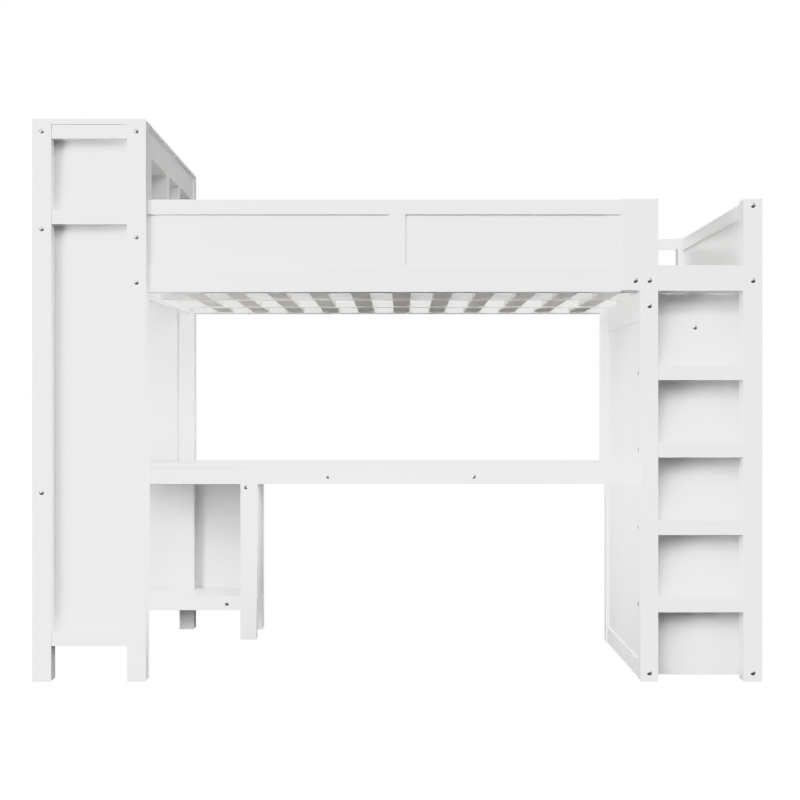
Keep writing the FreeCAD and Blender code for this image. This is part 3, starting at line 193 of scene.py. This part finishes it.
def lacquer(name, axis, level, warmth, grain, rough, gloss):
    """White lacquer on wood: the grain shows faintly along one axis, under a fine orange peel."""
    shader = Shader(name)
    surface = shader.surface
    scales = (ALONG_GRAIN if letter == axis else ACROSS_GRAIN for letter in "xyz")
    fibres = shader.stretched(tuple(scales))
    figure = shader.noise(fibres, 3.0, detail=6.0, roughness=0.62, distortion=0.6)
    pores = shader.noise(fibres, 14.0, detail=4.0, roughness=0.7)
    cloud = shader.noise(shader.place, 2.2, detail=2.0)
    darker = grey(level * (1 - 0.05 * grain), warmth)
    tone = shader.ramp(figure, ((0.3, darker), (0.7, grey(level, warmth))))
    drift = shader.ramp(cloud, ((0.3, grey(0.985)), (0.7, grey(1.0))))
    shader.wire(shader.multiply(tone, drift), surface.inputs["Base Color"])
    shader.wire(shader.range(cloud, rough - 0.04, rough + 0.06), surface.inputs["Roughness"])
    surface.inputs["Coat Weight"].default_value = gloss
    surface.inputs["Coat Roughness"].default_value = 0.16
    surface.inputs["Specular IOR Level"].default_value = 0.4
    edges = shader.soft_edges(1.2 * MM)
    peel = shader.bump(shader.noise(shader.place, 260.0, detail=2.0), 0.2 * MM, 0.08, edges)
    shader.wire(shader.bump(pores, 0.35 * MM, 0.10 * grain, peel), surface.inputs["Normal"])
    return shader.material


def zinc(name):
    """Zinc plate gone a little dull: fine turning marks and an uneven sheen."""
    shader = Shader(name)
    surface = shader.surface
    surface.inputs["Metallic"].default_value = 1.0
    blotch = shader.noise(shader.place, 900.0, detail=4.0)
    tone = shader.ramp(blotch, ((0.3, grey(0.34)), (0.7, grey(0.46))))
    shader.wire(tone, surface.inputs["Base Color"])
    shader.wire(shader.range(blotch, 0.28, 0.42), surface.inputs["Roughness"])
    scratches = shader.noise(shader.stretched((300.0, 2500.0, 2500.0)), 2.0, detail=3.0)
    shader.wire(shader.bump(scratches, 0.05 * MM, 0.25), surface.inputs["Normal"])
    return shader.material


LOOKS = {
    "white_frame": dict(level=0.95, warmth=0.004, grain=0.5, rough=0.36, gloss=0.25),
    "white_board": dict(level=0.95, warmth=0.004, grain=0.3, rough=0.34, gloss=0.30),
    "white_top": dict(level=0.95, warmth=0.004, grain=0.3, rough=0.28, gloss=0.45),
    # slat_wood: the lower, warmer level is painted shade for the shaded undersides of white slats;
    # the grain is their own.
    "slat_wood": dict(level=0.74, warmth=0.070, grain=1.0, rough=0.48, gloss=0.05),
    "slat_support": dict(level=0.90, warmth=0.020, grain=0.8, rough=0.45, gloss=0.10),
    "plate_steel": dict(level=0.95, warmth=0.004, grain=0.0, rough=0.42, gloss=0.10),
}


def longest(node):
    low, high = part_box(node)
    size = high - low
    return "xyz"[max(range(3), key=lambda axis: size[axis])]


def dress_nodes():
    """Gives every CAD node its slot's material, with the grain along the piece."""
    made = {}
    for part in RECORD["subparts"]:
        node, slot = part["node"], part["material_slot"]
        look = "slat_support" if node in SLAT_SUPPORTS else slot
        key = (look, GRAIN.get(node) or longest(node))
        if key not in made:
            if look == "zinc_steel":
                made[key] = zinc("zinc_steel_" + key[1])
            else:
                made[key] = lacquer(f"{look}_{key[1]}", key[1], **LOOKS[look])
        mesh = NODES[node].data
        mesh.materials.clear()
        mesh.materials.append(made[key])


# ---- the room ----


def build_floor():
    """A wide seamless floor, as bright as the backdrop, that throws no light back on the object."""
    mesh = bpy.data.meshes.new("floor")
    corners = [(FLOOR_HALF * x, FLOOR_HALF * y, 0) for x, y in ((-1, -1), (1, -1), (1, 1), (-1, 1))]
    mesh.from_pydata(corners, [], [(0, 1, 2, 3)])
    floor = bpy.data.objects.new("floor", mesh)
    floor.location.z = CAD_BOX[0][2] - FLOOR_GAP
    floor.visible_diffuse = False
    floor.visible_glossy = False
    floor.visible_shadow = False
    bpy.context.scene.collection.objects.link(floor)
    shader = Shader("floor_paper")
    surface = shader.surface
    surface.inputs["Base Color"].default_value = grey(0.3)
    surface.inputs["Roughness"].default_value = 0.9
    surface.inputs["Emission Color"].default_value = grey(1.0)
    surface.inputs["Emission Strength"].default_value = BACKDROP
    mesh.materials.append(shader.material)


def build_world():
    """A white backdrop for the eye, and a dimmer dome, brighter from above, for the object."""
    world = bpy.data.worlds.new("studio")
    bpy.context.scene.world = world
    world.use_nodes = True
    tree = world.node_tree
    dome = tree.nodes["Background"]
    dome.inputs["Color"].default_value = grey(1.0)
    direction = tree.nodes.new("ShaderNodeTexCoord")
    parts = tree.nodes.new("ShaderNodeSeparateXYZ")
    level = tree.nodes.new("ShaderNodeMapRange")
    level.inputs["From Min"].default_value = -HORIZON
    level.inputs["From Max"].default_value = HORIZON
    level.inputs["To Min"].default_value = FLOOR_LIGHT
    level.inputs["To Max"].default_value = SKY_LIGHT
    tree.links.new(direction.outputs["Generated"], parts.inputs["Vector"])
    tree.links.new(parts.outputs["Z"], level.inputs["Value"])
    tree.links.new(level.outputs["Result"], dome.inputs["Strength"])
    backdrop = tree.nodes.new("ShaderNodeBackground")
    backdrop.inputs["Color"].default_value = grey(1.0)
    backdrop.inputs["Strength"].default_value = BACKDROP
    ray = tree.nodes.new("ShaderNodeLightPath")
    mix = tree.nodes.new("ShaderNodeMixShader")
    tree.links.new(ray.outputs["Is Camera Ray"], mix.inputs[0])
    tree.links.new(dome.outputs["Background"], mix.inputs[1])
    tree.links.new(backdrop.outputs["Background"], mix.inputs[2])
    tree.links.new(mix.outputs["Shader"], tree.nodes["World Output"].inputs["Surface"])


def hang(name, light, place, aim):
    """Puts a lamp in the room, turned to its aim and unseen by the camera."""
    lamp = bpy.data.objects.new(name, light)
    lamp.location = place
    lamp.visible_camera = False
    lamp.rotation_euler = (aim - place).to_track_quat("-Z", "Y").to_euler()
    bpy.context.scene.collection.objects.link(lamp)


def build_lights():
    """Far soft keys and fills, and near discs of light."""
    for name, compass, height, strength in FAR_LIGHTS:
        light = bpy.data.lights.new(name, "SUN")
        light.energy = strength
        light.angle = math.radians(FAR_LIGHT_WIDTH)
        compass, height = math.radians(compass), math.radians(height)
        level = math.cos(height)
        away = Vector((math.sin(compass) * level, -math.cos(compass) * level, math.sin(height)))
        hang(name, light, AIM + LAMP_REACH * away, AIM)
    for name, place, target, width, power, spread in NEAR_LIGHTS:
        light = bpy.data.lights.new(name, "AREA")
        light.shape = "DISK"
        light.size = width
        light.energy = power
        light.spread = math.radians(spread)
        hang(name, light, Vector(place), Vector(target))


def set_tone():
    """A soft shoulder, so that lit and half-lit white faces come out nearly alike."""
    view = bpy.context.scene.view_settings
    view.view_transform = "Standard"
    view.use_curve_mapping = True
    mapping = view.curve_mapping
    mapping.white_level = (BACKDROP, BACKDROP, BACKDROP)
    for light, shown in TONE:
        mapping.curves[3].points.new(light / BACKDROP, shown)
    mapping.update()


def build_camera():
    """A level eye in front of the bed, at its distance from the front posts."""
    camera = bpy.data.cameras.new("camera")
    camera.lens = CAMERA_LENS
    camera.sensor_width = 36.0
    camera.shift_y = HORIZON_SHIFT
    camera.clip_end = 100.0
    eye = bpy.data.objects.new("camera", camera)
    post_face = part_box("tower_front_outer_post")[0].y
    eye.location = (CAMERA_SIDE, post_face - CAMERA_AWAY, CAMERA_HEIGHT)
    eye.rotation_euler = (math.radians(90), 0, 0)
    bpy.context.scene.collection.objects.link(eye)
    bpy.context.scene.camera = eye


build_camera()
build_world()
build_lights()
set_tone()
build_floor()
dress_nodes()
